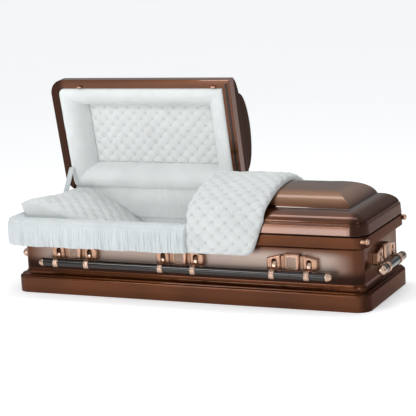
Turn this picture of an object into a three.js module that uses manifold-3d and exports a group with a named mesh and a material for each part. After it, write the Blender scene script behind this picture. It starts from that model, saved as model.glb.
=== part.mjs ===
// Half-couch sheet-steel funeral casket: moulded base, shell with a rim ledge, two hinged domed lids,
// cloth interior, and swing bars carried by cast lugs.
// Millimetres, +Z up, +X to the foot end, -Y to the front, origin at the centre of the underside.

import * as THREE from 'three';
import { mergeVertices } from 'three/addons/utils/BufferGeometryUtils.js';
import Module from 'manifold-3d';

const wasm = await Module();
wasm.setup();

// Overall sizes
const HALF_LENGTH = 1060;
const HALF_WIDTH = 353.5;
const BASE_CORNER = 75;
const SHEET = 1.2;
const GAP = 0.3;
const CORNER_STEPS = 4;

// Base moulding: upright face, round-over, fillet and cove up to the shell
const BASE_FACE_TOP = 84;
const BASE_ROUND = 12;
const BASE_STEP = 6;
const BASE_TOP = 136;
const SHELL_INSET = 40;

// Shell and rim ledge
const SHELL_BOTTOM = BASE_TOP + GAP;
const LEDGE_INSET = 8.5;
const LEDGE_UNDERSIDE = 322;
const LEDGE_LOW = 338;
const LEDGE_TOP = 396;
const LEDGE_EDGE = 4;
const MOUTH_INSET = 53.5;
const GASKET_INSETS = [21.5, 33.5];

// Lids
const LID_LOW = 404;
const LID_HALF_LENGTH = 1051.5;
const LID_HALF_WIDTH = 350;
const LID_CORNER = 88;
const BAND_HEIGHT = 50;
const BEAD = 6;
const VALLEY_HALF_WIDTH = 235;
const VALLEY_HEIGHT = 118;
const DOME_HEIGHT = 216;
const DOME_SHOULDER = [24, 176];
const DOME_FLANK = [105, 208];
const FLANGE_WIDTH = 50;
const SEAM = 115;
const SEAM_GAP = 10;
const HINGE_Y = 360;
const HINGE_Z = 468;
const OPEN_ANGLE = THREE.MathUtils.degToRad(79);

// Cloth interior
const LINING_INSET = 55;
const LINING_THICKNESS = 34;
const LINING_TOP = 384;
const MATTRESS_TOP = 270;
const FRAME_WIDTH = 130;
const FRAME_PROUD = 8;
const FRAME_BACK = 84;
const PANEL_DEPTH = 108;
const PANEL_BACK = 128;
const APRON_LOW = 280;
const APRON_TOP = 430;
const APRON_END_X = 42;
const THROW_LOW = 284;
const THROW_LEFT = 52;
const THROW_WIDTH = 400;

// Swing bars and their lugs, measured outwards from the shell wall
const BAR_RADIUS = 22.5;
const BAR_OUT = 62;
const BAR_HEIGHT = 190;
const LONG_BAR_HALF = 845;
const SHORT_BAR_HALF = 165;
const LUG_SPACING = 655;
const LUG_SHIFT = 12;
const LUG_DEPTH = 38;
const SLOT_OFFSET = 98;
const SLOT_WIDTH = 30;
const PIVOT_OUT = 20;
const PIVOT_HEIGHT = 244;
const ARM_WIDTH = 24;
const RING_WIDTH = 30;
const RING_WALL = 5;
const RING_SIDES = 10;
const BAR_SIDES = 16;

const finishes = {
  paint: { color: 0x5a3018, roughness: 0.25, metalness: 0.6 },
  brushed: { color: 0x9a8478, roughness: 0.35, metalness: 0.8 },
  copper: { color: 0xbe967d, roughness: 0.3, metalness: 0.9 },
  bar: { color: 0x1c1412, roughness: 0.25, metalness: 0.5 },
  rubber: { color: 0x151313, roughness: 0.8, metalness: 0.0 },
  cloth: { color: 0xe1e6e6, roughness: 0.9, metalness: 0.0 },
};

const casket = new THREE.Group();

function piece(name, geometry, finish, parent = casket) {
  const mesh = new THREE.Mesh(geometry, new THREE.MeshStandardMaterial(finishes[finish]));
  mesh.name = name;
  parent.add(mesh);
  return mesh;
}

// Closed-mesh helpers

function signedVolume(positions, indices) {
  const [a, b, c] = [new THREE.Vector3(), new THREE.Vector3(), new THREE.Vector3()];
  let sum = 0;
  for (let i = 0; i < indices.length; i += 3) {
    a.fromArray(positions, 3 * indices[i]);
    b.fromArray(positions, 3 * indices[i + 1]);
    c.fromArray(positions, 3 * indices[i + 2]);
    sum += a.dot(b.cross(c));
  }
  return sum / 6;
}

function closedGeometry(positions, indices) {
  const order = signedVolume(positions, indices) < 0 ? indices.slice().reverse() : indices;
  const geometry = new THREE.BufferGeometry();
  geometry.setAttribute('position', new THREE.Float32BufferAttribute(positions, 3));
  geometry.setIndex(order);
  return geometry;
}

// Directions in which an end loop is seen when its cap is cut into triangles.
const fromAbove = (p) => new THREE.Vector2(p.x, p.y);
const fromFoot = (p) => new THREE.Vector2(p.y, p.z);
const fromFront = (p) => new THREE.Vector2(p.x, p.z);

function capTriangles(loop, view, reversed) {
  const outline = loop.map(view);
  const turn = Math.sign(THREE.ShapeUtils.area(outline));
  return THREE.ShapeUtils.triangulateShape(outline, []).map(([a, b, c]) => {
    const along = Math.sign(THREE.ShapeUtils.area([outline[a], outline[b], outline[c]])) === turn;
    return along !== reversed ? [a, b, c] : [a, c, b];
  });
}

// Stacks loops of equal length into a closed skin with a cap on each end loop.
function skin(loops, startView = fromAbove, endView = startView) {
  const count = loops[0].length;
  const positions = loops.flat().flatMap((p) => [p.x, p.y, p.z]);
  const indices = [];
  for (let level = 0; level + 1 < loops.length; level += 1) {
    for (let i = 0; i < count; i += 1) {
      const a = level * count + i;
      const b = level * count + ((i + 1) % count);
      indices.push(a, b, a + count, b, b + count, a + count);
    }
  }
  const last = loops.length - 1;
  capTriangles(loops[0], startView, true).forEach((triangle) => indices.push(...triangle));
  capTriangles(loops[last], endView, false).forEach((triangle) => {
    indices.push(...triangle.map((i) => i + last * count));
  });
  return closedGeometry(positions, indices);
}

function toSolid(geometry) {
  const bare = geometry.clone();
  bare.deleteAttribute('normal');
  bare.deleteAttribute('uv');
  const merged = mergeVertices(bare, 1e-4);
  return new wasm.Manifold(new wasm.Mesh({
    numProp: 3,
    vertProperties: new Float32Array(merged.attributes.position.array),
    triVerts: new Uint32Array(merged.index.array),
  }));
}

function toGeometry(solid) {
  const mesh = solid.getMesh();
  const geometry = new THREE.BufferGeometry();
  geometry.setAttribute('position', new THREE.BufferAttribute(mesh.vertProperties.slice(), 3));
  geometry.setIndex(new THREE.BufferAttribute(mesh.triVerts.slice(), 1));
  return geometry;
}

function box(low, high) {
  const size = high.map((value, i) => value - low[i]);
  const geometry = new THREE.BoxGeometry(...size);
  geometry.translate(...low.map((value, i) => value + size[i] / 2));
  return geometry;
}

// Rounded rectangle round (centreX, 0) at height z, counter-clockwise from above.
function roundedLoop(halfX, halfY, radius, z, centreX = 0) {
  const loop = [];
  const corners = [[1, 1], [-1, 1], [-1, -1], [1, -1]];
  corners.forEach(([sx, sy], quarter) => {
    for (let step = 0; step <= CORNER_STEPS; step += 1) {
      const angle = (quarter + step / CORNER_STEPS) * Math.PI / 2;
      loop.push(new THREE.Vector3(
        centreX + sx * (halfX - radius) + radius * Math.cos(angle),
        sy * (halfY - radius) + radius * Math.sin(angle),
        z,
      ));
    }
  });
  return loop;
}

// Loop at an inset from the base outline, with the corner shrinking as the outline does.
function insetLoop(inset, z) {
  return roundedLoop(HALF_LENGTH - inset, HALF_WIDTH - inset, Math.max(BASE_CORNER - inset / 2, 20), z);
}

// Base moulding

function baseProfile() {
  const profile = [[0, 0], [0, BASE_FACE_TOP]];
  for (const angle of [Math.PI / 4, Math.PI / 2]) {
    profile.push([BASE_ROUND * (1 - Math.cos(angle)), BASE_FACE_TOP + BASE_ROUND * Math.sin(angle)]);
  }
  const coveStart = [BASE_ROUND + BASE_STEP / 2, BASE_FACE_TOP + BASE_ROUND + BASE_STEP];
  profile.push([BASE_ROUND, coveStart[1]], coveStart);
  const cove = new THREE.QuadraticBezierCurve(
    new THREE.Vector2(...coveStart),
    new THREE.Vector2(SHELL_INSET - 8, coveStart[1] + 6),
    new THREE.Vector2(SHELL_INSET, BASE_TOP),
  );
  cove.getPoints(2).slice(1).forEach((p) => profile.push([p.x, p.y]));
  return profile;
}

function baseMoulding() {
  const profile = baseProfile();
  const outer = toSolid(skin(profile.map(([inset, z]) => insetLoop(inset, z))));
  const inside = profile.slice(1).map(([inset, z]) => insetLoop(inset + SHEET, z - SHEET));
  const mouth = insetLoop(SHELL_INSET + SHEET, BASE_TOP + 10);
  const void_ = toSolid(skin([insetLoop(SHEET, SHEET), ...inside, mouth]));
  return toGeometry(outer.subtract(void_));
}

// Shell: upright wall, ledge that slants out to the rim, flat ledge top with the mouth in it

function shellOuter(grow = 0) {
  const wall = SHELL_INSET - grow;
  const edge = LEDGE_INSET - grow;
  return toSolid(skin([
    insetLoop(wall, SHELL_BOTTOM - grow),
    insetLoop(wall, LEDGE_UNDERSIDE - grow),
    insetLoop(edge, LEDGE_LOW - grow),
    insetLoop(edge, LEDGE_TOP - LEDGE_EDGE),
    insetLoop(edge + LEDGE_EDGE, LEDGE_TOP + grow),
  ]));
}

const CATCH_X = [-850, 10];
const CATCH_Y = -311;
const CATCH_SIZE = [26, 9, 15];

function shell() {
  const inside = toSolid(skin([
    insetLoop(SHELL_INSET + SHEET, SHELL_BOTTOM + SHEET),
    insetLoop(SHELL_INSET + SHEET, LEDGE_UNDERSIDE + SHEET),
    insetLoop(LEDGE_INSET + SHEET, LEDGE_LOW + SHEET),
    insetLoop(LEDGE_INSET + SHEET, LEDGE_TOP - LEDGE_EDGE - SHEET),
    insetLoop(LEDGE_INSET + LEDGE_EDGE, LEDGE_TOP - SHEET),
  ]));
  const mouthLevels = [LEDGE_TOP - 20, LEDGE_TOP + 20];
  const mouth = toSolid(skin(mouthLevels.map((z) => insetLoop(MOUTH_INSET, z))));
  let solid = shellOuter().subtract(inside).subtract(mouth);
  for (const x of CATCH_X) {
    const slot = box([x - 20, CATCH_Y - 8, LEDGE_TOP - 20], [x + 20, CATCH_Y + 8, LEDGE_TOP + 20]);
    solid = solid.subtract(toSolid(slot));
  }
  return toGeometry(solid);
}

function ring(outerInset, innerInset, low, high) {
  const outer = toSolid(skin([insetLoop(outerInset, low), insetLoop(outerInset, high)]));
  const inner = toSolid(skin([insetLoop(innerInset, low - 5), insetLoop(innerInset, high + 5)]));
  return toGeometry(outer.subtract(inner));
}

piece('base_moulding', baseMoulding(), 'paint');
piece('shell', shell(), 'brushed');
piece('gasket', ring(...GASKET_INSETS, LEDGE_TOP + GAP, LID_LOW - 0.5), 'rubber');

// Corner caps at the foot end, cut to the ledge corner they stand on

function cornerCap(side) {
  const radius = 14;
  const flange = radius + 2;
  const profile = [[0, 0], [radius, 0], [radius, 50], [flange, 51], [flange, 58], [radius - 4, 64], [0, 64]];
  const cap = new THREE.LatheGeometry(profile.map(([x, y]) => new THREE.Vector2(x, y)), 12);
  cap.rotateZ(-Math.PI / 2);
  cap.translate(1000, side * 318, 372);
  return toGeometry(toSolid(cap).subtract(shellOuter(GAP)));
}

piece('corner_cap_front', cornerCap(-1), 'copper');
piece('corner_cap_back', cornerCap(1), 'copper');

// Cloth interior

const FLOOR_TOP = SHELL_BOTTOM + SHEET + GAP;
piece('side_lining', ring(LINING_INSET, LINING_INSET + LINING_THICKNESS, FLOOR_TOP, LINING_TOP), 'cloth');

function mattress() {
  const inset = LINING_INSET + LINING_THICKNESS + 1;
  return skin([
    insetLoop(inset, FLOOR_TOP),
    insetLoop(inset, MATTRESS_TOP - 24),
    insetLoop(inset + 8, MATTRESS_TOP - 7),
    insetLoop(inset + 30, MATTRESS_TOP),
  ]);
}

piece('mattress', mattress(), 'cloth');

// Wedge-shaped pillow: each level gives the height, the head end, the foot end and the half width.
function pillow() {
  const headInside = -(HALF_LENGTH - LINING_INSET - LINING_THICKNESS - 2);
  const levels = [
    { z: MATTRESS_TOP + GAP, head: headInside + 25, foot: -510, half: 235 },
    { z: MATTRESS_TOP + 30, head: headInside, foot: -460, half: 258 },
    { z: LINING_TOP + 10, head: headInside, foot: -430, half: 260 },
    { z: APRON_TOP + 4, head: headInside - 14, foot: -480, half: 268 },
    { z: APRON_TOP + 22, head: headInside - 26, foot: -570, half: 272 },
    { z: APRON_TOP + 52, head: headInside - 26, foot: -710, half: 270 },
    { z: APRON_TOP + 72, head: headInside - 8, foot: -800, half: 250 },
  ];
  return skin(levels.map(({ z, head, foot, half }) => (
    roundedLoop((foot - head) / 2, half, 60, z, (foot + head) / 2)
  )));
}

piece('pillow', pillow(), 'cloth');

// Apron: an upside-down L carried along the front ledge, round the head corner and along the head end.
function apron() {
  const section = [
    [-46, LID_LOW + GAP], [-46, 422], [-30, APRON_TOP], [26, APRON_TOP], [46, 420], [52, 392],
    [52, APRON_LOW + 8], [46, APRON_LOW], [18, APRON_LOW], [13, APRON_LOW + 8], [13, LID_LOW + GAP],
  ];
  const edgeX = HALF_LENGTH - LEDGE_INSET;
  const edgeY = HALF_WIDTH - LEDGE_INSET;
  const radius = 64;
  const stations = [{ x: APRON_END_X, y: -edgeY, angle: -Math.PI / 2 }];
  for (let step = 0; step <= CORNER_STEPS; step += 1) {
    const angle = -Math.PI / 2 - (step / CORNER_STEPS) * Math.PI / 2;
    stations.push({
      x: -(edgeX - radius) + radius * Math.cos(angle),
      y: -(edgeY - radius) + radius * Math.sin(angle),
      angle,
    });
  }
  stations.push({ x: -edgeX, y: 250, angle: -Math.PI });
  const loops = stations.map(({ x, y, angle }) => section.map(([out, z]) => (
    new THREE.Vector3(x + out * Math.cos(angle), y + out * Math.sin(angle), z)
  )));
  return skin(loops, fromFoot, fromFront);
}

piece('apron', apron(), 'cloth');

// Strip of lining that covers the hinge gap behind the mouth.
piece('hinge_lining', box([-985, 276, LID_LOW + GAP], [90, 288, 462]), 'cloth');

// Cloth sleeve of the lid stay, from the head-end corner of the mouth up to the lid rim.
function staySleeve() {
  const foot = new THREE.Vector3(-1003, 130, 440);
  const head = new THREE.Vector3(-1003, 244, 612);
  const along = head.clone().sub(foot);
  const geometry = new THREE.BoxGeometry(9, 26, along.length());
  geometry.rotateX(-Math.atan2(along.y, along.z));
  const middle = foot.clone().add(head).multiplyScalar(0.5);
  geometry.translate(middle.x, middle.y, middle.z);
  return geometry;
}

piece('stay_sleeve', staySleeve(), 'cloth');

// Lids, drawn closed. A level is [inset from the rim outline, height above the rim].
function lidProfile() {
  const rollFoot = [BEAD + 4, BAND_HEIGHT + BEAD + 2];
  const valleyInset = LID_HALF_WIDTH - VALLEY_HALF_WIDTH;
  const profile = [
    [0, 0], [0, BAND_HEIGHT - 3], [BEAD / 2, BAND_HEIGHT], [BEAD / 2, BAND_HEIGHT + BEAD], rollFoot,
  ];
  const roll = new THREE.CubicBezierCurve(
    new THREE.Vector2(...rollFoot),
    new THREE.Vector2(rollFoot[0] + 2, 84),
    new THREE.Vector2(valleyInset - 60, 106),
    new THREE.Vector2(valleyInset, VALLEY_HEIGHT),
  );
  const dome = new THREE.CubicBezierCurve(
    new THREE.Vector2(valleyInset + 3, VALLEY_HEIGHT + 1),
    new THREE.Vector2(valleyInset + DOME_SHOULDER[0], DOME_SHOULDER[1]),
    new THREE.Vector2(valleyInset + DOME_FLANK[0], DOME_FLANK[1]),
    new THREE.Vector2(LID_HALF_WIDTH - 1, DOME_HEIGHT),
  );
  roll.getPoints(4).slice(1).forEach((p) => profile.push([p.x, p.y]));
  dome.getPoints(5).forEach((p) => profile.push([p.x, p.y]));
  return profile;
}

// Loop of one lid at an inset: two rounded corners at its outer end, square at the seam.
// end is +1 for the foot lid and -1 for the head lid.
function lidLoop(end, inset, height, seamInset = 0) {
  const seam = SEAM + end * (SEAM_GAP / 2 + seamInset);
  const outer = LID_HALF_LENGTH - inset;
  const half = LID_HALF_WIDTH - inset;
  const radius = Math.min(Math.max(LID_CORNER - inset, 3), half - 0.2);
  const loop = [new THREE.Vector3(seam, -half, LID_LOW + height)];
  for (const side of [-1, 1]) {
    for (let step = 0; step <= CORNER_STEPS; step += 1) {
      const turn = (step / CORNER_STEPS) * Math.PI / 2;
      const angle = side < 0 ? turn - Math.PI / 2 : turn;
      loop.push(new THREE.Vector3(
        end * (outer - radius + radius * Math.cos(angle)),
        side * (half - radius) + radius * Math.sin(angle),
        LID_LOW + height,
      ));
    }
  }
  loop.push(new THREE.Vector3(seam, half, LID_LOW + height));
  return loop;
}

const HINGE_X = { head: [-840, -60], foot: [290, 880] };
const KNUCKLE = 7;
const PIN = 3.5;
const KNUCKLE_LENGTH = 24;

function tubeAlongX(outer, inner, low, high, y, z) {
  const shape = new THREE.Shape();
  shape.absarc(0, 0, outer, 0, 2 * Math.PI);
  if (inner > 0) {
    const hole = new THREE.Path();
    hole.absarc(0, 0, inner, 0, 2 * Math.PI, true);
    shape.holes.push(hole);
  }
  const options = { depth: high - low, bevelEnabled: false, curveSegments: 4 };
  const geometry = new THREE.ExtrudeGeometry(shape, options);
  geometry.rotateY(Math.PI / 2);
  geometry.translate(low, y, z);
  return geometry;
}

// Two knuckles welded to the back of a lid by a short leaf over the bead.
function lidLeaf(x) {
  let leaf = null;
  for (const side of [-1, 1]) {
    const low = x + side * (KNUCKLE_LENGTH + 1) - KNUCKLE_LENGTH / 2;
    const high = low + KNUCKLE_LENGTH;
    const knuckle = toSolid(tubeAlongX(KNUCKLE, PIN + 0.4, low, high, HINGE_Y, HINGE_Z));
    const tongue = toSolid(box([low, LID_HALF_WIDTH - 12.5, HINGE_Z - 5], [high, HINGE_Y - 5, HINGE_Z]));
    const both = knuckle.add(tongue);
    leaf = leaf ? leaf.add(both) : both;
  }
  return leaf;
}

function lidShell(end, hingePlaces) {
  const profile = lidProfile();
  const outer = toSolid(skin(profile.map(([inset, height]) => lidLoop(end, inset, height))));
  const inside = profile.slice(1).map(([inset, height]) => (
    lidLoop(end, Math.min(inset + SHEET * 1.3, LID_HALF_WIDTH - 0.6), height - SHEET * 1.3, SHEET)
  ));
  const hollow = toSolid(skin([lidLoop(end, SHEET, SHEET, SHEET), ...inside]));
  const mouth = toSolid(skin([-10, 20].map((z) => lidLoop(end, FLANGE_WIDTH, z, FLANGE_WIDTH))));
  let solid = outer.subtract(hollow).subtract(mouth);
  for (const x of hingePlaces) {
    solid = solid.add(lidLeaf(x));
  }
  return toGeometry(solid);
}

// Hinge bracket on the back of the ledge: a foot, an upright plate and the middle knuckle with its pin.
function hingeBracket(x) {
  const half = KNUCKLE_LENGTH / 2;
  const back = HALF_WIDTH - LEDGE_INSET + GAP;
  const plateFront = LID_HALF_WIDTH + 3.5;
  const foot = toSolid(box([x - 26, back, 346], [x + 26, HINGE_Y - 2, 390]));
  const plate = toSolid(box([x - half, plateFront, 388], [x + half, HINGE_Y - 2, HINGE_Z - 3]));
  const knuckle = toSolid(tubeAlongX(KNUCKLE, 0, x - half, x + half, HINGE_Y, HINGE_Z));
  const pin = toSolid(tubeAlongX(PIN, 0, x - half - 24, x + half + 24, HINGE_Y, HINGE_Z));
  return toGeometry(foot.add(plate).add(knuckle).add(pin));
}

[...HINGE_X.head, ...HINGE_X.foot].forEach((x, i) => {
  piece(`hinge_bracket_${i + 1}`, hingeBracket(x), 'paint');
});

// Padded frame of a lid's lining: puffed out past the rim, falling back to a recessed panel.
function lidFrame(end) {
  const start = FLANGE_WIDTH + 1.5;
  const levels = [
    [start + FRAME_WIDTH - 12, PANEL_BACK], [start, FRAME_BACK], [start, 2],
    [start + 8, -FRAME_PROUD + 2], [start + 26, -FRAME_PROUD],
    [start + 55, -FRAME_PROUD + 6], [start + 95, 24], [start + FRAME_WIDTH, PANEL_DEPTH],
    [start + FRAME_WIDTH, PANEL_BACK],
  ];
  const outerLevels = levels.slice(0, 5);
  const outer = toSolid(skin(outerLevels.map(([inset, height]) => lidLoop(end, inset, height, inset))));
  const hollowLevels = [
    [start + 26, -FRAME_PROUD - 1], ...levels.slice(5), [start + FRAME_WIDTH, PANEL_BACK + 10],
  ];
  const hollow = toSolid(skin(hollowLevels.map(([inset, height]) => lidLoop(end, inset, height, inset))));
  return toGeometry(outer.subtract(hollow));
}

function lidPanel(end) {
  const start = FLANGE_WIDTH + 2 + FRAME_WIDTH;
  const levels = [[start, PANEL_BACK], [start, PANEL_DEPTH + 3], [start + 20, PANEL_DEPTH - 3]];
  return skin(levels.map(([inset, height]) => lidLoop(end, inset, height, inset)));
}

function footLining(end) {
  const start = FLANGE_WIDTH + 1.5;
  const levels = [[start, 40], [start, 14], [start + 30, 4]];
  return skin(levels.map(([inset, height]) => lidLoop(end, inset, height, inset)));
}

// The head lid stands open, turned back about the hinge line.
const headLid = new THREE.Group();
headLid.position.set(0, HINGE_Y, HINGE_Z);
headLid.rotation.x = -OPEN_ANGLE;
casket.add(headLid);

function onHeadLid(name, geometry, finish) {
  geometry.translate(0, -HINGE_Y, -HINGE_Z);
  return piece(name, geometry, finish, headLid);
}

onHeadLid('head_lid', lidShell(-1, HINGE_X.head), 'paint');
onHeadLid('head_lid_frame', lidFrame(-1), 'cloth');
onHeadLid('head_lid_panel', lidPanel(-1), 'cloth');

CATCH_X.forEach((x, i) => {
  const [length, thickness, drop] = CATCH_SIZE;
  const tongue = box(
    [x - length / 2, CATCH_Y - thickness / 2, LID_LOW - drop],
    [x + length / 2, CATCH_Y + thickness / 2, LID_LOW - GAP],
  );
  onHeadLid(`catch_${i + 1}`, tongue, 'copper');
});

piece('foot_lid', lidShell(1, HINGE_X.foot), 'paint');
piece('foot_lid_lining', footLining(1), 'cloth');

// Quilted throw over the foot lid: a thick sheet from the front hem over the dome to the back roll.
function throwOver() {
  const clear = 6;
  const under = [
    [-LID_HALF_WIDTH - clear, THROW_LOW], [-LID_HALF_WIDTH - clear, LID_LOW + BAND_HEIGHT + 6],
    [-312, LID_LOW + 104], [-235, LID_LOW + VALLEY_HEIGHT + 20], [-160, LID_LOW + 200],
    [-70, LID_LOW + 217], [20, LID_LOW + DOME_HEIGHT + 9], [130, LID_LOW + 206],
    [240, LID_LOW + VALLEY_HEIGHT + 34],
  ];
  const over = [
    [-397, THROW_LOW], [-392, LID_LOW + BAND_HEIGHT], [-362, LID_LOW + 126], [-275, LID_LOW + 180],
    [-180, LID_LOW + 222], [-75, LID_LOW + 246], [20, LID_LOW + 250], [115, LID_LOW + 232],
    [262, LID_LOW + 160],
  ];
  const columns = [
    { x: THROW_LEFT, flare: 0, puff: 0.6 },
    { x: THROW_LEFT + 40, flare: 0, puff: 1 },
    { x: THROW_LEFT + THROW_WIDTH - 60, flare: 60, puff: 0.95 },
    { x: THROW_LEFT + THROW_WIDTH - 20, flare: 80, puff: 0.45 },
  ];
  return skin(columns.map(({ x, flare, puff }) => {
    const at = (point, i) => new THREE.Vector3(x + flare * Math.min(1, i / 3), point[0], point[1]);
    const top = over.map((point, i) => at(
      [THREE.MathUtils.lerp(under[i][0], point[0], puff), THREE.MathUtils.lerp(under[i][1], point[1], puff)],
      i,
    ));
    return [...under.map(at), ...top.reverse()];
  }), fromFoot);
}

piece('throw', throwOver(), 'cloth');

// Lugs, arms and bars are drawn facing -Y against the plane y = 0 and then carried to their wall.

const SIDE_WALL = HALF_WIDTH - SHELL_INSET;

// The lugs' places along a long wall.
function lugPlaces(shift) {
  return [-LUG_SPACING, 0, LUG_SPACING].map((x) => x + shift);
}

const SIDES = {
  front: { turn: 0, wall: SIDE_WALL, places: lugPlaces(-LUG_SHIFT), half: LONG_BAR_HALF },
  foot: { turn: Math.PI / 2, wall: HALF_LENGTH - SHELL_INSET, places: [0], half: SHORT_BAR_HALF },
  back: { turn: Math.PI, wall: SIDE_WALL, places: lugPlaces(LUG_SHIFT), half: LONG_BAR_HALF },
  head: { turn: -Math.PI / 2, wall: HALF_LENGTH - SHELL_INSET, places: [0], half: SHORT_BAR_HALF },
};

function wallGroup({ turn, wall }) {
  const group = new THREE.Group();
  group.rotation.z = turn;
  group.position.set(wall * Math.sin(turn), -wall * Math.cos(turn), 0);
  casket.add(group);
  return group;
}

// A plate outline in (along, height), raised from the wall towards -Y with a chamfered face.
function raisedPlate(points, depth, chamfer) {
  const shape = new THREE.Shape(points.map(([x, z]) => new THREE.Vector2(x, z)));
  const geometry = new THREE.ExtrudeGeometry(shape, {
    depth: depth - chamfer,
    bevelEnabled: chamfer > 0,
    bevelSegments: 1,
    bevelSize: chamfer,
    bevelOffset: -chamfer,
    bevelThickness: chamfer,
  });
  geometry.rotateX(Math.PI / 2);
  return toSolid(geometry);
}

function slotCutter(x) {
  const arch = PIVOT_HEIGHT + 10;
  const half = SLOT_WIDTH / 2;
  const shape = new THREE.Shape();
  shape.moveTo(x - half, 150);
  shape.lineTo(x + half, 150);
  shape.lineTo(x + half, arch);
  shape.absarc(x, arch, half, 0, Math.PI);
  const geometry = new THREE.ExtrudeGeometry(shape, { depth: 80, bevelEnabled: false, curveSegments: 3 });
  geometry.rotateX(Math.PI / 2);
  geometry.translate(0, -6, 0);
  return toSolid(geometry);
}

function lug() {
  const strip = raisedPlate([[-75, 214], [75, 214], [75, 284], [-75, 284]], 22, 0);
  const block = raisedPlate([[-41, 206], [41, 206], [43, 297], [-43, 297]], LUG_DEPTH, 5);
  const panel = toSolid(box([-29, -60, 218], [29, -LUG_DEPTH + 4, 284]));
  let solid = strip.add(block).subtract(panel);
  for (const side of [-1, 1]) {
    const corners = [[64, 204], [138, 204], [142, 214], [142, 272], [64, 290]];
    const outline = corners.map(([x, z]) => [side * x, z]);
    const wing = raisedPlate(side < 0 ? outline.reverse() : outline, LUG_DEPTH - 3, 6);
    solid = solid.add(wing).subtract(slotCutter(side * SLOT_OFFSET));
  }
  const wallSide = toSolid(box([-200, -GAP, 100], [200, 60, 400]));
  return toGeometry(solid.subtract(wallSide));
}

// Swing arm: an S-curved strap from the pivot eye to the ring that grips the bar.
function swingArm(x) {
  const spine = new THREE.CatmullRomCurve3([
    new THREE.Vector3(PIVOT_OUT, PIVOT_HEIGHT + 7, 0),
    new THREE.Vector3(PIVOT_OUT + 12, PIVOT_HEIGHT - 6, 0),
    new THREE.Vector3(PIVOT_OUT + 18, PIVOT_HEIGHT - 20, 0),
    new THREE.Vector3(PIVOT_OUT + 15, PIVOT_HEIGHT - 34, 0),
    new THREE.Vector3(PIVOT_OUT + 20, PIVOT_HEIGHT - 48, 0),
  ]);
  const thickness = 9;
  const left = [];
  const right = [];
  const steps = 5;
  for (let step = 0; step <= steps; step += 1) {
    const point = spine.getPoint(step / steps);
    const tangent = spine.getTangent(step / steps);
    left.push(new THREE.Vector2(point.x - tangent.y * thickness / 2, point.y + tangent.x * thickness / 2));
    right.push(new THREE.Vector2(point.x + tangent.y * thickness / 2, point.y - tangent.x * thickness / 2));
  }
  const strapShape = new THREE.Shape([...left, ...right.reverse()]);
  const strapGeometry = new THREE.ExtrudeGeometry(strapShape, { depth: ARM_WIDTH, bevelEnabled: false });
  strapGeometry.translate(0, 0, -ARM_WIDTH / 2);
  const ringShape = new THREE.Shape();
  ringShape.absarc(BAR_OUT, BAR_HEIGHT, BAR_RADIUS + RING_WALL, 0, 2 * Math.PI);
  const ringGeometry = new THREE.ExtrudeGeometry(ringShape, {
    depth: RING_WIDTH,
    bevelEnabled: false,
    curveSegments: RING_SIDES / 2,
  });
  ringGeometry.translate(0, 0, -RING_WIDTH / 2);
  const boreShape = new THREE.Shape();
  boreShape.absarc(BAR_OUT, BAR_HEIGHT, (BAR_RADIUS + 0.4) / Math.cos(Math.PI / RING_SIDES), 0, 2 * Math.PI);
  const boreGeometry = new THREE.ExtrudeGeometry(boreShape, {
    depth: 2 * RING_WIDTH,
    bevelEnabled: false,
    curveSegments: RING_SIDES / 2,
  });
  boreGeometry.translate(0, 0, -RING_WIDTH);
  const solid = toSolid(strapGeometry).add(toSolid(ringGeometry)).subtract(toSolid(boreGeometry));
  const geometry = toGeometry(solid);
  geometry.applyMatrix4(new THREE.Matrix4().set(0, 0, 1, x, -1, 0, 0, 0, 0, 1, 0, 0, 0, 0, 0, 1));
  return closedGeometry(Array.from(geometry.attributes.position.array), Array.from(geometry.index.array));
}

function barRod(half) {
  const rod = new THREE.CylinderGeometry(BAR_RADIUS, BAR_RADIUS, 2 * half, BAR_SIDES);
  rod.rotateZ(Math.PI / 2);
  rod.translate(0, -BAR_OUT, BAR_HEIGHT);
  return rod;
}

// Copper tip: collar, swelling and domed end, turned about the bar's line.
function barTip(half, side) {
  const radius = BAR_RADIUS + 2;
  const profile = [[0, 0], [radius, 0], [radius, 14], [radius - 3, 17], [radius - 8, 29], [0, 33]];
  const tip = new THREE.LatheGeometry(profile.map(([x, y]) => new THREE.Vector2(x, y)), 10);
  tip.rotateZ(-side * Math.PI / 2);
  tip.translate(side * (half + GAP), -BAR_OUT, BAR_HEIGHT);
  return tip;
}

for (const [side, wall] of Object.entries(SIDES)) {
  const group = wallGroup(wall);
  let arm = 0;
  wall.places.forEach((place, i) => {
    const geometry = lug();
    geometry.translate(place, 0, 0);
    piece(`lug_${side}_${i + 1}`, geometry, 'copper', group);
    for (const offset of [-SLOT_OFFSET, SLOT_OFFSET]) {
      arm += 1;
      piece(`arm_${side}_${arm}`, swingArm(place + offset), 'copper', group);
    }
  });
  piece(`bar_${side}`, barRod(wall.half), 'bar', group);
  piece(`bar_tip_${side}_1`, barTip(wall.half, -1), 'copper', group);
  piece(`bar_tip_${side}_2`, barTip(wall.half, 1), 'copper', group);
}

export default casket;
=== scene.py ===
# %% [markdown]
# # A funeral casket with its head lid open
# A steel casket is a pressed sheet box on a stepped base, closed by two domed lids. Bars to carry it by
# hang from cast lugs, and the inside is dressed in gathered and quilted cloth. The solids give every
# piece its place; here each one gets its fine shape and its finish.

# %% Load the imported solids
import math

import bmesh
import bpy
import numpy as np
from mathutils import Matrix


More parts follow.
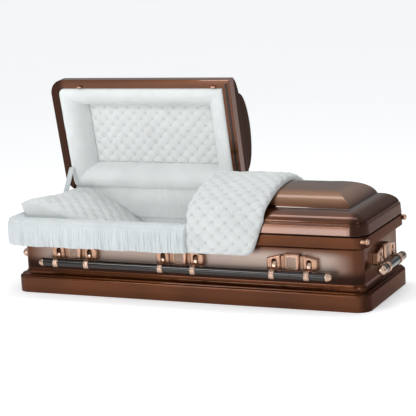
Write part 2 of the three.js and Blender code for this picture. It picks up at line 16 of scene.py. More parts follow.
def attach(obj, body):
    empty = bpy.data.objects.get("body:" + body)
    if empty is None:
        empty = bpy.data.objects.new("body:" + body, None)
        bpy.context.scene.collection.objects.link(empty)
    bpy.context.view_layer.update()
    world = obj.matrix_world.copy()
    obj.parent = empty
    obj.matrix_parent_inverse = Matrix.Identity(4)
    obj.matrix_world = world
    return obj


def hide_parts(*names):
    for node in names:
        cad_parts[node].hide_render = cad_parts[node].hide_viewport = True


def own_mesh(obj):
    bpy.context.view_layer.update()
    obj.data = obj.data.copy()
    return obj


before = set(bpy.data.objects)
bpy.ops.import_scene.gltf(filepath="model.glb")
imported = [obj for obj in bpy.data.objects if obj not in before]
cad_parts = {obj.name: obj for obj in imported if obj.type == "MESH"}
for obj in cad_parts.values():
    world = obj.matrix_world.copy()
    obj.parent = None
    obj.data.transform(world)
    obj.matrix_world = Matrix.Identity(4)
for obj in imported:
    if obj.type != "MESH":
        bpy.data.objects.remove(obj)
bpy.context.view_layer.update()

# %% [markdown]
# ## Grids of points
# Nearly every surface here is a table of points: one direction runs along a profile, the other around
# the casket. A table turns into a mesh by joining each point to its neighbours, and a ring of points
# that ends in the open is closed with a fan to its middle.

# %% From a table of points to an object
MM = 0.001


def grid_faces(rows, columns, wrap_rows, wrap_columns):
    """Quads between neighbouring points of a rows by columns table, wrapping where asked."""
    i = np.arange(rows if wrap_rows else rows - 1)[:, None]
    j = np.arange(columns if wrap_columns else columns - 1)[None, :]
    below, beside = (i + 1) % rows, (j + 1) % columns
    corners = (i * columns + j, below * columns + j, below * columns + beside, i * columns + beside)
    return np.stack([np.broadcast_to(c, (i.size, j.size)).ravel() for c in corners], axis=1)


def place(name, points, faces, body, material, sharp=None, attributes=None):
    """A mesh object in metres from points in millimetres, with its faces turned outward."""
    mesh = bpy.data.meshes.new(name)
    mesh.from_pydata((np.asarray(points) * MM).tolist(), [], faces)
    for key, values in (attributes or {}).items():
        layer = mesh.attributes.new(key, "FLOAT", "POINT")
        layer.data.foreach_set("value", np.asarray(values, dtype=np.float32).ravel())
    work = bmesh.new()
    work.from_mesh(mesh)
    bmesh.ops.remove_doubles(work, verts=work.verts, dist=1e-6)
    bmesh.ops.recalc_face_normals(work, faces=work.faces)
    work.to_mesh(mesh)
    work.free()
    mesh.polygons.foreach_set("use_smooth", np.ones(len(mesh.polygons), dtype=bool))
    if sharp:
        mesh.set_sharp_from_angle(angle=math.radians(sharp))
    mesh.materials.append(material)
    piece = bpy.data.objects.new(name, mesh)
    bpy.context.scene.collection.objects.link(piece)
    if body:
        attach(piece, body)
    return piece


def surface(name, table, body, material, wrap_rows=False, wrap_columns=False, caps=(False, False),
            sharp=None, attributes=None):
    """A piece whose surface is a table of points; capped ends are closed to their middle point."""
    rows, columns = table.shape[:2]
    points = table.reshape(-1, 3)
    faces = grid_faces(rows, columns, wrap_rows, wrap_columns).tolist()
    for row, wanted in zip((0, rows - 1), caps):
        if wanted:
            ring = row * columns + np.arange(columns)
            middle = np.full(columns, len(points))
            points = np.vstack([points, table[row].mean(axis=0)])
            faces += np.stack([ring, np.roll(ring, -1), middle], axis=1).tolist()
            attributes = {k: np.append(np.ravel(v), np.ravel(v)[row * columns])
                          for k, v in (attributes or {}).items()}
    return place(name, points, faces, body, material, sharp, attributes)


def bezier(points, count):
    """Points on the cubic curve of four control points, end points included."""
    t = np.linspace(0, 1, count)[:, None]
    a, b, c, d = np.asarray(points, dtype=float)
    return (1 - t) ** 3 * a + 3 * t * (1 - t) ** 2 * b + 3 * t * t * (1 - t) * c + t ** 3 * d


def arc(centre, radius, start, end, count):
    """Points of a circle's arc from one angle to another, in degrees."""
    angle = np.radians(np.linspace(start, end, count))
    return np.stack([centre[0] + radius * np.cos(angle), centre[1] + radius * np.sin(angle)], axis=1)


def smooth(points, count):
    """A smooth curve through given points, sampled at even distances along it."""
    p = np.asarray(points, dtype=float)
    p = np.vstack([2 * p[0] - p[1], p, 2 * p[-1] - p[-2]])
    t = np.linspace(0, 1, 24, endpoint=False)[:, None]
    parts = [0.5 * (2 * b + (c - a) * t + (2 * a - 5 * b + 4 * c - d) * t ** 2
                    + (3 * b - a - 3 * c + d) * t ** 3)
             for a, b, c, d in zip(p[:-3], p[1:-2], p[2:-1], p[3:])]
    fine = np.vstack(parts + [p[-2:-1]])
    along = np.append(0, np.cumsum(np.linalg.norm(np.diff(fine, axis=0), axis=1)))
    even = np.linspace(0, along[-1], count)
    return np.stack([np.interp(even, along, fine[:, k]) for k in range(fine.shape[1])], axis=1)


def normals(table):
    """Unit normals of a table of points, from the directions of its rows and columns."""
    n = np.cross(np.gradient(table, axis=0), np.gradient(table, axis=1))
    return n / np.maximum(np.linalg.norm(n, axis=2, keepdims=True), 1e-9)


print("grid helpers ready")

# %% [markdown]
# ## Finishes
# The steel is sprayed in a translucent brown over bare brushed metal and then clear lacquered. It is
# darker at the edges and corners, partly where the spray is thicker and partly as painted shade, and its
# pale middles are partly a painted reflection. The lugs are copper plated, blackened and rubbed back, which
# leaves dark in the hollows. The cloth is a white crepe with a fine weave.
# A small class lets a finish be written as sums and products of what it reads.


# %% Sockets that can be added and multiplied
class Value:
    """One output of a material's nodes, which arithmetic joins to new Math nodes."""

    def __init__(self, finish, socket):
        self.finish, self.socket = finish, socket

    def math(self, operation, a, b=0.0, clamp=False):
        return self.finish.node("ShaderNodeMath", {"operation": operation, "use_clamp": clamp}, {0: a, 1: b})

    def __add__(self, other):
        return self.math("ADD", self, other)

    def __sub__(self, other):
        return self.math("SUBTRACT", self, other)

    def __rsub__(self, other):
        return self.math("SUBTRACT", other, self)

    def __mul__(self, other):
        return self.math("MULTIPLY", self, other)

    __radd__, __rmul__ = __add__, __mul__

    def clamp(self):
        return self.math("ADD", self, 0.0, clamp=True)

    def absolute(self):
        return self.math("ABSOLUTE", self)


class Finish:
    """A material under construction: its node tree and its one shader."""

    def __init__(self, name, **constants):
        self.material = bpy.data.materials.new(name)
        self.material.use_nodes = True
        self.tree = self.material.node_tree
        self.shader = self.tree.nodes["Principled BSDF"]
        for key, value in constants.items():
            self.shader.inputs[key.replace("_", " ")].default_value = value

    def node(self, kind, settings=None, sockets=None, out=0):
        """A node of any kind: its settings come first, then the values or links of its sockets."""
        node = self.tree.nodes.new(kind)
        for key, value in (settings or {}).items():
            setattr(node, key, value)
        for key, value in (sockets or {}).items():
            if isinstance(value, Value):
                self.tree.links.new(value.socket, node.inputs[key])
            else:
                node.inputs[key].default_value = value
        return Value(self, node.outputs[out])

    def feed(self, socket, value):
        self.tree.links.new(value.socket, self.shader.inputs[socket])

    def place(self, *scale):
        """The piece's own coordinates in metres, stretched along each axis."""
        where = self.node("ShaderNodeTexCoord", out="Object")
        return self.node("ShaderNodeVectorMath", {"operation": "MULTIPLY"}, {0: where, 1: scale})

    def axes(self):
        where = self.node("ShaderNodeSeparateXYZ", sockets={0: self.place(1, 1, 1)})
        return [Value(self, where.socket.node.outputs[k]) for k in range(3)]

    def noise(self, scale, detail=3.0, stretch=(1, 1, 1), rough=0.5):
        return self.node("ShaderNodeTexNoise", {}, {"Vector": self.place(*stretch), "Scale": scale,
                                                   "Detail": detail, "Roughness": rough})

    def mix(self, share, a, b):
        return self.node("ShaderNodeMix", {"data_type": "RGBA"}, {0: share, 6: a, 7: b}, out=2)

    def step(self, value, low, high):
        return self.node("ShaderNodeMapRange", {"interpolation_type": "SMOOTHSTEP"},
                         {0: value, 1: low, 2: high})

    def bump(self, height, distance, strength=1.0):
        self.feed("Normal", self.node("ShaderNodeBump", {}, {"Height": height, "Distance": distance,
                                                            "Strength": strength}))

    def attribute(self, name):
        return self.node("ShaderNodeAttribute", {"attribute_name": name}, out="Fac")


def colour(red, green, blue):
    """A colour given as it looks on a screen, 0 to 255, as the linear values a shader takes."""
    c = np.array([red, green, blue]) / 255
    return (*np.where(c < 0.04045, c / 12.92, ((c + 0.055) / 1.055) ** 2.4), 1.0)


print("material helpers ready")

# %% [markdown]
# ## The finishes
# The steel is sprayed brown over a brushed ground, so one wall goes from bare metal in its middle to lacquer
# at its ends; the pale middle is partly a painted reflection. The castings are copper rubbed back, the bars
# are dark gloss, and the cloth is white crepe.

# %% Lacquered steel, brushed steel, copper, bar enamel and cloth
# The third brown is painted shade for the casket's end faces.
BROWN, DARK_BROWN, END_SHADE_BROWN = colour(94, 49, 18), colour(78, 39, 14), colour(44, 22, 13)
# The darkest colour is painted shade: below the bar, along the dome's valley and at its seam end.
PAINTED_SHADE, TAN = colour(30, 15, 10), colour(134, 99, 73)
EDGE_TINT = (0.62, 0.46, 0.38, 1)


def sprayed(f, x):
    """The brown spray's colour: uneven in tone, and darker and redder on the casket's two ends as painted
    shade on the end faces.
    """
    tone = f.mix(f.step(f.noise(2.3, 2.0), 0.35, 0.7), BROWN, DARK_BROWN)
    # The end faces are painted darker and redder: painted shade.
    end = f.step(x.absolute(), 1.0, 1.04)
    f.feed("Coat Weight", 0.6 - 0.55 * end)
    return f.mix(end * 0.85, tone, END_SHADE_BROWN)


def lacquer():
    """Brown spray over metal under a clear coat."""
    f = Finish("lacquered_steel", Metallic=0.8, Coat_Roughness=0.04, Coat_IOR=1.35, Specular_Tint=EDGE_TINT)
    f.feed("Base Color", sprayed(f, f.axes()[0]))
    f.feed("Roughness", 0.2 + 0.1 * f.noise(60, 2.0, (1, 1, 6)))
    return f.material


def brushed_wall():
    """Bare brushed steel in the middle of each wall, sprayed brown toward its ends and edges; the pale
    middle is partly a painted reflection and the dark foot is painted shade.
    """
    f = Finish("brushed_shell", Metallic=0.85, Coat_Roughness=0.06, Coat_IOR=1.35, Specular_Tint=EDGE_TINT)
    x, y, z = f.axes()
    end_middle = f.step(x.absolute(), 0.985, 1.0) * f.step(y.absolute(), 0.26, 0.1)
    along = f.step(x.absolute(), 1.0, 0.76) + end_middle * 0.35
    up = f.step(z, 0.145, 0.21) * f.step(z, 0.324, 0.262)
    # The pale middle, fading to brown at the ends, top and bottom, is partly bare metal and partly a painted
    # reflection.
    clear = (along * up * (0.8 + 0.4 * f.noise(4, 2.0))).clamp()
    brush = f.noise(3.0, 4.0, (2, 2, 260), 0.7)
    bare = f.mix(brush, colour(168, 146, 134), colour(198, 180, 170))
    # Below the bar the wall is painted nearly black: painted shadow of the bar and painted reflection of the
    # dark base.
    foot = f.step(z, 0.225, 0.165)
    f.feed("Base Color", f.mix(foot * 0.92, f.mix(clear, sprayed(f, x), bare), PAINTED_SHADE))
    f.feed("Coat Weight", (0.6 - 0.55 * f.step(x.absolute(), 1.0, 1.04) - 0.5 * foot).clamp())
    f.feed("Roughness", 0.24 + 0.2 * clear + 0.1 * brush)
    f.bump(brush * clear, 0.00004)
    return f.material


def brushed_dome():
    """The lid: brown rim and roll, and a dome brushed bare between a dark valley and a dark crown; the
    valley's dark line is painted shade, and the pale band and grey crown are partly the finish and partly
    painted reflection.
    """
    f = Finish("brushed_lid", Metallic=0.7, Coat_Roughness=0.04, Coat_IOR=1.45, Specular_Tint=EDGE_TINT)
    height = f.attribute("height")
    x, y, z = f.axes()
    brush = f.noise(3.0, 4.0, (2, 90, 260), 0.7)
    # The pale brushed band is partly bare metal and partly a painted reflection.
    bare = f.step(height, 122, 158) * f.step(height, 209, 186)
    # The valley is painted dark along the crease between roll and dome: painted shade.
    valley = f.step(height, 106, 117) * f.step(height, 134, 120)
    # The crown is painted dark grey: partly the spray and partly a painted reflection.
    crown = f.step(height, 184, 208)
    # The seam end of the dome is painted dark: painted shade of a recessed end panel.
    seam = f.step((x - 0.112).absolute(), 0.02, 0.012) * f.step(height, 50, 60)
    bare = bare * (1 - f.step(x.absolute(), 0.86, 0.97))
    tone = f.mix((bare * (0.5 + 0.6 * brush)).clamp(), sprayed(f, x * 1.05), TAN)
    tone = f.mix(valley * 0.8, tone, PAINTED_SHADE)
    tone = f.mix(crown * 0.75, tone, colour(88, 70, 62))
    f.feed("Base Color", f.mix(seam * 0.85, tone, PAINTED_SHADE))
    f.feed("Roughness", 0.2 + 0.18 * bare + 0.08 * brush + 0.3 * seam)
    f.feed("Coat Weight", (0.85 - 0.8 * seam - 0.7 * f.step(x.absolute(), 0.94, 1.0)).clamp())
    f.bump(brush * bare, 0.00004)
    return f.material


def copper():
    """Copper plate blackened and rubbed back: dark in hollows, bright where a cloth would reach."""
    f = Finish("antique_copper", Metallic=1.0)
    hollow = f.node("ShaderNodeNewGeometry", out="Pointiness")
    worn = f.step(hollow + 0.02 * (f.noise(90, 3.0) - 0.5), 0.46, 0.52)
    dark = f.mix(worn, colour(60, 40, 32), colour(188, 148, 124))
    f.feed("Base Color", f.mix(f.step(f.noise(35, 4.0), 0.5, 0.75) * 0.5, dark, colour(122, 86, 68)))
    f.feed("Roughness", 0.5 - 0.22 * worn)
    return f.material


def silvered():
    """The swing arms: a paler copper, lighter and darker in random patches."""
    f = Finish("rubbed_copper", Metallic=1.0)
    f.feed("Base Color", f.mix(f.noise(40, 3.0), colour(178, 142, 120), colour(214, 188, 170)))
    f.feed("Roughness", 0.2 + 0.14 * f.noise(120, 2.0))
    return f.material


def pebbled():
    """Relief on a lug's panel: blackened in its hollows and rubbed bright on its crests."""
    f = Finish("pebbled_copper", Metallic=1.0)
    rise = f.attribute("rise")
    f.feed("Base Color", f.mix(f.step(rise, 0.5, 0.85), colour(34, 24, 20), colour(206, 178, 160)))
    f.feed("Roughness", 0.55 - 0.25 * f.step(rise, 0.3, 0.9))
    return f.material


def enamel():
    """The bars: near-black brown gloss."""
    f = Finish("bar_enamel", Metallic=0.3, Coat_Weight=0.45, Coat_Roughness=0.03, Coat_IOR=1.4)
    f.feed("Base Color", f.mix(f.noise(5, 2.0), colour(28, 17, 14), colour(20, 12, 10)))
    f.feed("Roughness", 0.16 + 0.06 * f.noise(12, 2.0))
    return f.material


def cloth(name, light, shade, weave=1500.0):
    """White crepe: a fine pebbled weave, a soft change of tone, and painted shade in its sewn dips."""
    f = Finish(name, Sheen_Weight=0.2, Sheen_Roughness=0.5)
    pebble = f.noise(weave, 2.0)
    tone = f.mix(f.step(f.noise(9, 3.0), 0.3, 0.75), light, shade)
    # The sewn dips are mixed toward grey: painted shade.
    f.feed("Base Color", f.mix(f.attribute("dip") * 0.4, tone, colour(150, 152, 152)))
    f.feed("Roughness", 0.82 + 0.12 * pebble)
    f.bump(pebble + 0.5 * f.noise(weave / 5, 3.0, (1, 1, 3)), 0.0004, 0.5)
    return f.material


LACQUER, WALL, DOME, COPPER, SILVER = lacquer(), brushed_wall(), brushed_dome(), copper(), silvered()
ENAMEL, PEBBLED = enamel(), pebbled()
# The same white crepe in four copies of different brightness, as painted light and shade: lightest for the
# lid's quilt and the linings, darker for the apron, sleeve, pillow and throw.
CLOTH = cloth("white_crepe", colour(203, 208, 209), colour(195, 200, 201))
QUILT = cloth("quilted_crepe", colour(207, 210, 209), colour(199, 202, 201))
LID_QUILT = cloth("lid_quilt_crepe", colour(226, 228, 227), colour(218, 220, 219))
BRIGHT_LINING = cloth("lining_crepe", colour(228, 231, 230), colour(220, 223, 222))
print("finishes:", [m.name for m in bpy.data.materials])

# %% [markdown]
# ## The base and the shell
# Both are sheet steel pressed to a section and bent around the casket, so each is one profile carried
# around a rounded rectangle. A profile is a list of pairs: how far in from the outermost line, and how
# high. The base has a flat face, a round shoulder, a small step and a cove up to the wall.

# %% Carry a profile around the casket
HALF_LENGTH, HALF_WIDTH, CORNER = 1060, 353.5, 75
CORNER_STEPS = 14


def rounded(half_x, half_y, radius, steps=CORNER_STEPS):
    """Rounded rectangles, one row per given size, running counter-clockwise from the +X +Y corner."""
    quarter = np.linspace(0, 1, steps + 1)
    angle = (np.arange(4)[:, None] + quarter).ravel() * math.pi / 2
    sign_x, sign_y = np.repeat([1, -1, -1, 1], steps + 1), np.repeat([1, 1, -1, -1], steps + 1)
    half_x, half_y, radius = (np.asarray(v, dtype=float)[:, None] for v in (half_x, half_y, radius))
    return np.stack([sign_x * (half_x - radius) + radius * np.cos(angle),
                     sign_y * (half_y - radius) + radius * np.sin(angle)], axis=2)


def around(profile):
    """The casket's outline drawn in by each profile point's inset, at that point's height."""
    inset, height = np.asarray(profile, dtype=float).T
    flat = rounded(HALF_LENGTH - inset, HALF_WIDTH - inset, np.maximum(CORNER - inset / 2, 20))
    return np.dstack([flat, np.broadcast_to(height[:, None], flat.shape[:2])])


base_profile = np.vstack([[(3, 0), (0.8, 0.8), (0, 3), (0, 40), (0, 80)], arc((12, 84), 12, 180, 90, 9),
                          [(12.6, 99), (12, 101), (12.8, 102.3), (15, 102.6)],
                          bezier([(16, 103), (30, 104), (37, 116), (39, 130)], 12), [(40, 133), (40, 136)]])
base = surface("base_moulding_sheet", around(base_profile), "shell", LACQUER, wrap_columns=True,
               caps=(True, True), sharp=28)
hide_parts("base_moulding")

shell_profile = np.vstack([[(40, 136.3), (40, 230), (40, 318)],
                           bezier([(40, 321), (38, 327), (22, 333), (10.5, 336)], 9),
                           [(9, 336.8), (8.5, 339), (8.5, 365), (8.5, 391)], arc((12.5, 392), 4, 180, 90, 6),
                           [(53, 396), (53.5, 395.4), (53.2, 394.8), (42, 392), (41.2, 380), (41.2, 137.6)]])
shell_shape = around(shell_profile)
shell = surface("shell_sheet", shell_shape, "shell", WALL, wrap_columns=True, caps=(False, True), sharp=28)
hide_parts("shell")
print("base and shell:", len(base.data.polygons), len(shell.data.polygons), "faces")

# %% [markdown]
# ## The lids
# Each lid is pressed in one piece: a rim flange turned in under a flat band, two fine beads, a rolled
# shoulder up to a valley, and a hipped dome. At the seam in the middle the lid is cut square and closed
# by a flat panel. The head lid is the same shape turned back about its hinge.

# %% Both lids from one profile
LID_LOW, LID_END, LID_HALF, LID_CORNER = 404, 1051.5, 350, 88
SEAM, SEAM_HALF_GAP = 115, 5
HINGE_Y, HINGE_Z, OPEN_ANGLE = 360, 468, math.radians(79)
HEAD, FOOT = -1, 1


def lid_loops(end, inset, height, seam_inset, steps=CORNER_STEPS):
    """A loop per level: round corners at the casket's end, nearly square ones at the seam."""
    inset, seam_inset = np.asarray(inset, dtype=float), np.asarray(seam_inset, dtype=float)
    seam_x = SEAM + end * (SEAM_HALF_GAP + seam_inset)
    far_x = end * (LID_END - inset)
    half = LID_HALF - inset
    round_far = np.minimum(np.maximum(LID_CORNER - inset, 3), half - 0.5)
    round_seam = np.full_like(inset, 1.5)
    quarter = np.linspace(0, math.pi / 2, steps + 1)
    rows = []
    corners = ((far_x, end, 1, round_far, 0), (seam_x, -end, 1, round_seam, 1),
               (seam_x, -end, -1, round_seam, 0), (far_x, end, -1, round_far, 1))
    for corner_x, way_x, way_y, radius, start in corners:
        turn = quarter if start == 0 else quarter[::-1]
        x = (corner_x - way_x * radius)[:, None] + way_x * radius[:, None] * np.cos(turn)
        y = (way_y * (half - radius))[:, None] + way_y * radius[:, None] * np.sin(turn)
        rows.append(np.stack([x, y], axis=2))
    flat = np.concatenate(rows, axis=1)
    tall = LID_LOW + np.asarray(height, dtype=float)
    return np.dstack([flat, np.broadcast_to(tall[:, None], flat.shape[:2])])


def opened(points):
    """Points of the closed head lid turned back about the hinge line."""
    y, z = points[..., 1] - HINGE_Y, points[..., 2] - HINGE_Z
    c, s = math.cos(OPEN_ANGLE), math.sin(OPEN_ANGLE)
    return np.stack([points[..., 0], HINGE_Y + y * c + z * s, HINGE_Z - y * s + z * c], axis=-1)


inner = [(176, 142), (120, 111), (64, 88), (52, 60), (50.6, 3), (50, 1), (49, 0)]
rim = np.vstack([[(1.2, 0), (-0.8, 0.7), (-1.6, 3), (0.5, 24.5), (2.5, 46)],
                 [(2.7, 48.5), (3, 49.6), (3.4, 50.8)], arc((5.4, 53), 2.6, 200, 100, 6),
                 [(6.4, 55.9), (7.6, 56.4)], arc((10.4, 58.8), 2.4, 190, 110, 5)])
roll = bezier([(10.8, 61.5), (12, 84), (55, 106), (113, 117)], 22)
dome = bezier([(117.5, 118.4), (139, 176), (220, 208), (338, 215.5)], 26)
lid_profile = np.vstack([inner, rim, roll, [(115.5, 117.2)], dome])
DOME_SEAM_INSET = 6.0
dome_rows = len(lid_profile) - len(inner) - len(rim)
seam_inset = np.concatenate([np.array(inner)[:, 0], np.zeros(len(rim)), np.full(dome_rows, DOME_SEAM_INSET)])


def lid(name, end, body, node):
    table = lid_loops(end, lid_profile[:, 0], lid_profile[:, 1], seam_inset)
    height = np.broadcast_to(lid_profile[:, 1][:, None], table.shape[:2])
    if end == HEAD:
        table = opened(table)
    piece = surface(name, table, body, DOME, wrap_columns=True, caps=(True, True), sharp=24,
                    attributes={"height": height})
    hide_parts(node)
    return piece


head_lid = lid("head_lid_sheet", HEAD, "head_lid", "head_lid")
foot_lid = lid("foot_lid_sheet", FOOT, "foot_lid", "foot_lid")
ends = np.array([(18, 1), (18, -2.4), (30, -2.4), (30, 1)], dtype=float)
seal_y = np.array([-325.0, 325.0])
seal = np.stack([np.broadcast_to(110 - ends[:, 0], (2, 4)), np.broadcast_to(seal_y[:, None], (2, 4)),
                 np.broadcast_to(LID_LOW + ends[:, 1], (2, 4))], axis=2)
seam_seal = surface("seam_seal", opened(seal), "head_lid", ENAMEL, wrap_columns=True, caps=(True, True),
                    sharp=40)
print("lids:", len(head_lid.data.polygons), "faces each")

# %% [markdown]
# ## Lugs, arms, bars and caps
# The lugs are castings, so a copy of each solid has its edges softened as a casting's are, and a panel
# of pebbled relief is set in its recess. Arms are bent straps ending in a ring; the bars are tube with
# turned tips.

# %% Soften copies of the cast pieces
CAST_EDGE = 1.6


def softened(node, body, material, width=CAST_EDGE, segments=2):
    """A copy of a solid, merged into whole faces, with rounded edges."""
    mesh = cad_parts[node].data.copy()
    mesh.materials.clear()
    work = bmesh.new()
    work.from_mesh(mesh)
    bmesh.ops.remove_doubles(work, verts=work.verts, dist=1e-5)
    bmesh.ops.dissolve_limit(work, angle_limit=math.radians(2), verts=work.verts, edges=work.edges)
    work.to_mesh(mesh)
    work.free()
    mesh.polygons.foreach_set("use_smooth", np.ones(len(mesh.polygons), dtype=bool))
    mesh.set_sharp_from_angle(angle=math.radians(40))
    mesh.materials.append(material)
    piece = bpy.data.objects.new(node + "_cast", mesh)
    bpy.context.scene.collection.objects.link(piece)
    bevel = piece.modifiers.new("edges", "BEVEL")
    bevel.width, bevel.segments, bevel.limit_method = width * MM, segments, "ANGLE"
    bevel.angle_limit = math.radians(30)
    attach(piece, body)
    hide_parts(node)
    return piece


SIDES = {"front": (0, 313.5, 3), "foot": (90, 1020, 1), "back": (180, 313.5, 3), "head": (-90, 1020, 1)}
LUG_SPACING, LUG_SHIFT, SLOT_OFFSET = 655, {"front": -12, "back": 12}, 98


def turned(points, side, along):
    """Points given as along, out from the wall, up: placed on a side of the casket."""
    turn, wall, _ = SIDES[side]
    c, s = math.cos(math.radians(turn)), math.sin(math.radians(turn))
    x, y = points[..., 0] + along, -wall - points[..., 1]
    return np.stack([x * c - y * s, x * s + y * c, points[..., 2]], axis=-1)


def places(side):
    return [k * LUG_SPACING + LUG_SHIFT[side] for k in (-1, 0, 1)] if SIDES[side][2] == 3 else [0]


PANEL_HALF, PANEL_LOW, PANEL_HIGH, PEBBLE = 28.4, 218.6, 283.4, 12.5


def pebbled_panel(side, index, along):
    """A lug's inset panel: crossed rows of small domes, as a height over a flat table."""
    a, z = np.meshgrid(np.linspace(-PANEL_HALF, PANEL_HALF, 61), np.linspace(PANEL_LOW, PANEL_HIGH, 69))
    p, q = (a + z) * math.pi / PEBBLE, (a - z) * math.pi / PEBBLE
    rise = np.abs(np.sin(p) * np.sin(q)) ** 0.6
    edge = np.minimum(np.minimum(PANEL_HALF - np.abs(a), z - PANEL_LOW), PANEL_HIGH - z)
    border = 1.2 * np.sin(np.clip(edge / 3, 0, 1) * math.pi)
    rise = np.where(edge < 3, border, rise * np.clip((edge - 3) / 2, 0, 1))
    front = np.dstack([a, 34.2 + 2.2 * rise, z])
    piece = surface(f"panel_{side}_{index}", turned(front, side, along), "shell", PEBBLED, sharp=60,
                    attributes={"rise": rise})
    back = piece.modifiers.new("thickness", "SOLIDIFY")
    back.thickness, back.offset = 2 * MM, 1.0


for side in SIDES:
    for index, along in enumerate(places(side), 1):
        softened(f"lug_{side}_{index}", "shell", COPPER)
        pebbled_panel(side, index, along)
for index in (1, 2, 3, 4):
    softened(f"hinge_bracket_{index}", "shell", COPPER, 0.8)
for index in (1, 2):
    softened(f"catch_{index}", "head_lid", COPPER, 0.8)
print("castings softened")

# %% [markdown]
# ## Bars and their fittings
# A bar, a ring, a tip and a cap are each a short profile spun around a line. The strap that hangs a ring
# from its lug is a flat band bent along a path.

# %% Straps, rings, bars, tips and caps
BAR_OUT, BAR_HEIGHT, BAR_RADIUS = 62, 190, 22.5
BAR_HALF = {"front": 845, "back": 845, "foot": 165, "head": 165}
STRAP = [(19, 253), (27, 247), (35, 238), (38.5, 228), (36.5, 218), (34.5, 208), (36, 199), (40, 192)]
STRAP_WIDTH, STRAP_THICK = 24, 9


def strap(centre):
    """A bent bar of rounded rectangular section along its spine, fatter at the two bends."""
    spine = smooth(STRAP, 34)
    ahead = np.gradient(spine, axis=0)
    ahead /= np.linalg.norm(ahead, axis=1, keepdims=True)
    swell = 1 + 0.22 * np.cos(np.linspace(0, 4 * math.pi, 34))
    turn = np.linspace(0, 2 * math.pi, 25)[:-1]
    wide = np.sign(np.cos(turn)) * np.abs(np.cos(turn)) ** 0.5 * STRAP_WIDTH / 2
    deep = np.sign(np.sin(turn)) * np.abs(np.sin(turn)) ** 0.6 * STRAP_THICK / 2
    deep = deep[None, :] * swell[:, None]
    along = np.broadcast_to(centre + wide, deep.shape)
    return np.dstack([along, spine[:, :1] - deep * ahead[:, 1:], spine[:, 1:] + deep * ahead[:, :1]])


def turned_profile(profile, centre, sides=40):
    """A profile of along and radius pairs spun around the bar's own line."""
    profile = np.asarray(profile, dtype=float)
    turn = np.linspace(0, 2 * math.pi, sides + 1)[:-1]
    along = np.broadcast_to(profile[:, :1], (len(profile), sides))
    radius = profile[:, 1:]
    return np.dstack([along, centre[0] + radius * np.cos(turn), centre[1] + radius * np.sin(turn)])


RING = [(-15, 23), (-15, 26.5), (-13.5, 28), (-11, 27.4), (-9, 26.2), (-6, 26.4), (-3, 27.6), (0, 28),
        (3, 27.6), (6, 26.4), (9, 26.2), (11, 27.4), (13.5, 28), (15, 26.5), (15, 23)]
TIP = [(0, 0.0), (0, 23.5), (1, 24.5), (13, 24.5), (15, 23), (16, 21.5), (18, 21.2), (24, 20), (29, 16),
       (32, 10), (33, 0.0)]
BAR_LINE = (BAR_OUT, BAR_HEIGHT)

for side in SIDES:
    body, half = f"{side}_bar", BAR_HALF[side]
    wall_line = [(x, BAR_RADIUS) for x in np.linspace(-half + 0.5, half - 0.5, 24)]
    line = np.vstack([[(-half + 0.4, 0.0)], wall_line, [(half - 0.4, 0.0)]])
    tube = turned(turned_profile(line, BAR_LINE, 48), side, 0)
    bar = surface(f"bar_tube_{side}", tube, body, ENAMEL, wrap_columns=True, sharp=40)
    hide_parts(f"bar_{side}")
    for index, way in ((1, -1), (2, 1)):
        ends = [(way * (half + x), r) for x, r in TIP]
        knob = turned(turned_profile(ends, BAR_LINE), side, 0)
        tip = surface(f"tip_{side}_{index}", knob, body, SILVER, wrap_columns=True, sharp=40)
        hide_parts(f"bar_tip_{side}_{index}")
    number = 0
    for along in places(side):
        for way in (-1, 1):
            number += 1
            ring = turned_profile([(x + way * SLOT_OFFSET, r) for x, r in RING], BAR_LINE)
            loop = surface(f"ring_{side}_{number}", turned(ring, side, along), body, SILVER, wrap_rows=True,
                           wrap_columns=True, sharp=40)
            band = turned(strap(way * SLOT_OFFSET), side, along)
            arm = surface(f"strap_{side}_{number}", band, body, SILVER, wrap_columns=True, caps=(True, True),
                          sharp=50)
            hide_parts(f"arm_{side}_{number}")

CAP = [(1000, 0), (1000, 14), (1050, 14), (1050.5, 15.5), (1051.5, 16.4), (1056, 16.4), (1057.5, 15),
       (1062, 13.6), (1064, 11), (1064.6, 6), (1064.6, 0)]
CAP_HEIGHT = 372
for name, y in (("front", -318), ("back", 318)):
    tube = turned_profile(CAP, (y, CAP_HEIGHT), 36)
    cap = surface(f"cap_{name}", tube, "shell", COPPER, wrap_columns=True, sharp=40)
    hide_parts(f"corner_cap_{name}")
print("bars, arms, rings, tips and caps placed")

# %% [markdown]
# ## Cloth pieces
# The interior is padded crepe. A quilted piece is sewn down at points set in staggered rows: the cloth
# dips at each point, creases run between neighbours, and the wadding swells in the diamonds between.
# A gathered piece is cut longer than the edge it is sewn to, so it stands in narrow upright folds.

# %% Quilting, gathers and closed sheets
DIAMOND_WIDE, DIAMOND_TALL = 76, 74


def to_stitch(a, s, wide, tall):
    """Distance in millimetres to the nearest sewn point of the staggered rows."""
    u, v = a / wide, s / tall
    return np.minimum(np.hypot((u - np.round(u)) * wide, (v - np.round(v)) * tall),
                      np.hypot((u - np.floor(u) - 0.5) * wide, (v - np.floor(v) - 0.5) * tall))


def tufted(a, s, wide=DIAMOND_WIDE, tall=DIAMOND_TALL):
    """Height from 0 at the sewn points to 1 in each diamond: diagonal creases, dips where they cross."""
    p, q = math.pi * (a / wide + s / tall), math.pi * (a / wide - s / tall)
    lines = (np.abs(np.sin(p)) * np.abs(np.sin(q))) ** 0.45
    return 0.4 * lines + 0.6 * (1 - np.exp(-(to_stitch(a, s, wide, tall) / 15) ** 1.2))


def dips(a, s, wide=DIAMOND_WIDE, tall=DIAMOND_TALL):
    """1 at each sewn point, fading within a few millimetres: where the cloth gets painted shade."""
    return np.exp(-(to_stitch(a, s, wide, tall) / 6.5) ** 2)


